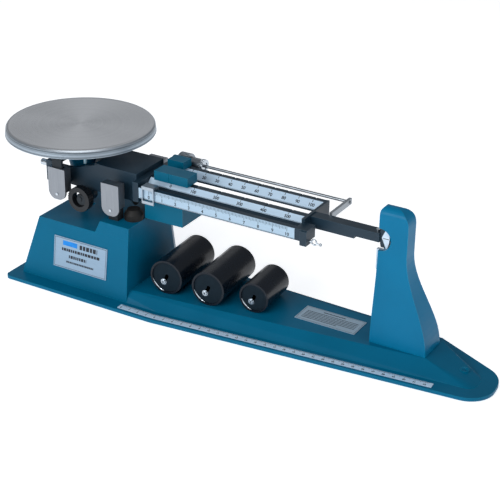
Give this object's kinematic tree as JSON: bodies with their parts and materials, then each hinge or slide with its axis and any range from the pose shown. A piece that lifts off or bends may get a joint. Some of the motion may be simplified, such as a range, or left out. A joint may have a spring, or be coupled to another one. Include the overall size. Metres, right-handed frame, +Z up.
{
  "type": "triple beam balance",
  "caption": "Mechanical laboratory balance: a round pan on knife edges, graduated beams with sliding poises, a tare beam, a pointer pillar and stored attachment weights.",
  "frame": {"origin": "on the surface that the balance stands on, at the middle of its length and width", "axes": "+X from the pan to the pointer pillar, +Y to the back, +Z up; the printed scales face -Y"},
  "size_m": [0.5473, 0.1536, 0.159],
  "materials": {
    "base_blue": "satin paint",
    "pillar_blue": "satin paint",
    "beam_black": "semi-matt black enamel",
    "pan_steel": "spun stainless steel",
    "cover_steel": "brushed sheet",
    "bright_steel": "bright plated",
    "hard_steel": "ground",
    "printed_plate": "printed aluminium",
    "poise_blue": "satin paint",
    "rider_silver": "satin anodised",
    "black_plastic": "moulded",
    "white_plastic": "moulded",
    "pale_plastic": "moulded",
    "rubber": "matt",
    "weight_black": "gloss black enamel",
    "weight_cap": "moulded",
    "magnet": "plain",
    "vane": "plain",
    "casting_grey": "matt"
  },
  "bodies": {
    "base": {"base_casting": "base_blue", "pillar": "pillar_blue", "damper_magnets": "magnet", "front_plate": "printed_plate", "deck_plate": "printed_plate", "ruler_strip": "printed_plate", "fulcrum_posts": "casting_grey", "fulcrum_bearings": "hard_steel", "fulcrum_cover_front": "cover_steel", "fulcrum_cover_back": "cover_steel", "fulcrum_cover_screws": "bright_steel", "index_plate": "white_plastic", "rest_stop": "rubber", "rubber_feet": "rubber", "link_bracket": "casting_grey"},
    "beam": {"beam_casting": "beam_black", "damper_vane": "vane", "rest_stud": "hard_steel", "fulcrum_knives": "hard_steel", "load_knives": "hard_steel", "front_scale": "printed_plate", "middle_scale": "printed_plate", "back_scale": "printed_plate", "pointer": "beam_black", "pointer_face": "white_plastic", "tare_rod": "hard_steel", "tare_link": "hard_steel", "zero_stud": "hard_steel", "hanger_pin": "bright_steel", "balance_screws": "bright_steel"},
    "pan_carrier": {"pan_support": "base_blue", "support_pegs": "pale_plastic", "stirrup_legs": "casting_grey", "load_bearings": "hard_steel", "load_cover_front": "cover_steel", "load_cover_back": "cover_steel", "load_cover_rivets": "bright_steel", "check_stem": "casting_grey"},
    "pan": {"pan": "pan_steel"},
    "check_link": {"check_link": "hard_steel"},
    "zero_knob": {"zero_knob": "black_plastic", "zero_hub": "hard_steel"},
    "rider_10": {"rider_10": "rider_silver"},
    "poise_100": {"poise_100": "poise_blue"},
    "poise_500": {"poise_500": "poise_blue", "poise_500_block": "poise_blue"},
    "tare_poise": {"tare_poise": "hard_steel"},
    "tare_lock": {"tare_lock_nut": "bright_steel"},
    "weight_a": {"weight_a_body": "weight_black", "weight_a_cap": "weight_cap", "weight_a_hub": "bright_steel"},
    "weight_b": {"weight_b_body": "weight_black", "weight_b_cap": "weight_cap", "weight_b_hub": "bright_steel"},
    "weight_c": {"weight_c_body": "weight_black", "weight_c_cap": "weight_cap", "weight_c_hub": "bright_steel"},
    "levelling_wheel": {"levelling_wheel": "black_plastic"},
    "levelling_foot": {"levelling_foot": "bright_steel"}
  },
  "joints": [
    {"name": "beam_tilt", "type": "hinge", "parent": "base", "child": "beam", "pos_m": [-0.131, 0, 0.11], "axis": [0, 1, 0], "range_deg": [-2, 2], "stiffness_Nm_per_rad": 0.6},
    {"name": "carrier_level", "type": "hinge", "parent": "beam", "child": "pan_carrier", "pos_m": [-0.197, 0, 0.11], "axis": [0, 1, 0], "range_deg": [-2.5, 2.5]},
    {"name": "link_swing", "type": "hinge", "parent": "base", "child": "check_link", "pos_m": [-0.131, 0, 0.046], "axis": [0, 1, 0], "range_deg": [-2.5, 2.5]},
    {"name": "pan_lift", "type": "slide", "parent": "pan_carrier", "child": "pan", "axis": [0, 0, 1], "range_m": [0, 0.1]},
    {"name": "zero_turn", "type": "hinge", "parent": "beam", "child": "zero_knob", "pos_m": [-0.1725, -0.037, 0.0945], "axis": [0, 1, 0], "continuous": true},
    {"name": "rider_10_slide", "type": "slide", "parent": "beam", "child": "rider_10", "axis": [1, 0, 0], "range_m": [0, 0.1555]},
    {"name": "poise_100_slide", "type": "slide", "parent": "beam", "child": "poise_100", "axis": [1, 0, 0], "range_m": [0, 0.152]},
    {"name": "poise_500_slide", "type": "slide", "parent": "beam", "child": "poise_500", "axis": [1, 0, 0], "range_m": [0, 0.132]},
    {"name": "tare_slide", "type": "slide", "parent": "beam", "child": "tare_poise", "axis": [1, 0, 0], "range_m": [0, 0.15]},
    {"name": "tare_lock_turn", "type": "hinge", "parent": "tare_poise", "child": "tare_lock", "pos_m": [-0.0764, 0.043, 0.123], "axis": [1, 0, 0], "continuous": true},
    {"name": "weight_a_out", "type": "slide", "parent": "base", "child": "weight_a", "axis": [0.0628, -0.998, 0], "range_m": [0, 0.12]},
    {"name": "weight_b_out", "type": "slide", "parent": "base", "child": "weight_b", "axis": [0.0628, -0.998, 0], "range_m": [0, 0.12]},
    {"name": "weight_c_out", "type": "slide", "parent": "base", "child": "weight_c", "axis": [0.0628, -0.998, 0], "range_m": [0, 0.12]},
    {"name": "levelling_turn", "type": "hinge", "parent": "base", "child": "levelling_wheel", "pos_m": [0.213, 0, 0.004], "axis": [0, 0, 1], "range_deg": [-720, 0]},
    {"name": "levelling_travel", "type": "slide", "parent": "base", "child": "levelling_foot", "axis": [0, 0, 1], "range_m": [-0.003, 0]}
  ],
  "couplings": [
    {"joint": "carrier_level", "follows": "beam_tilt", "ratio": -1},
    {"joint": "link_swing", "follows": "beam_tilt", "ratio": 1},
    {"joint": "levelling_travel", "follows": "levelling_turn", "m_per_rad": 0.00023873}
  ]
}
